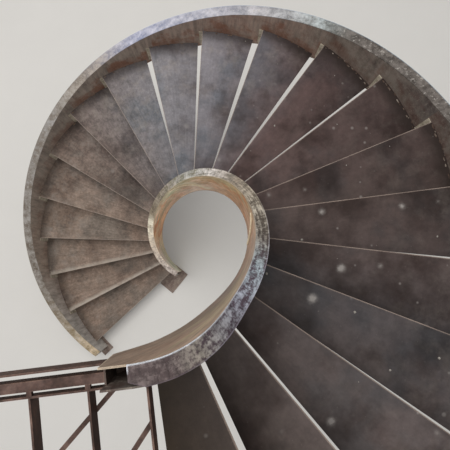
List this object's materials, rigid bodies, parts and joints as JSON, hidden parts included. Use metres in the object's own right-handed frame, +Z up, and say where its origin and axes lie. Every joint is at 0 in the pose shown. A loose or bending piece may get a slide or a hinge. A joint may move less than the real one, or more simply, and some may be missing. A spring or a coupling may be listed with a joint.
{
  "type": "spiral staircase",
  "caption": "Steel spiral stair with box stringers around an open well, plain plate treads without risers, and an undecked landing frame at its head.",
  "frame": {"origin": "middle of the inner foot plate's underside, on the ground", "axes": "+Z up; +X and +Y level, with the foot of the flight lying towards -X and -Y of the well and the landing running off towards -X"},
  "size_m": [2.8499, 2.8621, 3.712],
  "materials": {
    "tread_plate": "dull mill scale, dusty",
    "stringer_primer": "matt primer, rusting",
    "stringer_top": "matt, scuffed and dusty",
    "bracket_steel": "matt primer",
    "landing_primer": "matt dark primer"
  },
  "bodies": {
    "root": {"tread_01": "tread_plate", "tread_02": "tread_plate", "tread_03": "tread_plate", "tread_04": "tread_plate", "tread_05": "tread_plate", "tread_06": "tread_plate", "tread_07": "tread_plate", "tread_08": "tread_plate", "tread_09": "tread_plate", "tread_10": "tread_plate", "tread_11": "tread_plate", "tread_12": "tread_plate", "tread_13": "tread_plate", "tread_14": "tread_plate", "tread_15": "tread_plate", "tread_16": "tread_plate", "tread_17": "tread_plate", "tread_18": "tread_plate", "tread_19": "tread_plate", "tread_20": "tread_plate", "inner_stringer_well_web": "stringer_primer", "inner_stringer_tread_web": "stringer_primer", "inner_stringer_bottom_plate": "stringer_primer", "inner_stringer_end_plate": "stringer_primer", "outer_stringer_tread_web": "stringer_primer", "outer_stringer_rim_web": "stringer_primer", "outer_stringer_bottom_plate": "stringer_primer", "inner_stringer_top_plate": "stringer_top", "outer_stringer_top_plate": "stringer_top", "outer_tread_uprights": "bracket_steel", "inner_foot_plate": "bracket_steel", "outer_foot_plate": "bracket_steel", "landing_well_flat": "landing_primer", "landing_edge_flat": "landing_primer", "landing_edge_tube": "landing_primer", "landing_outer_flat": "landing_primer", "landing_joists": "landing_primer", "landing_spacers": "landing_primer", "landing_braces": "landing_primer"}
  },
  "joints": []
}
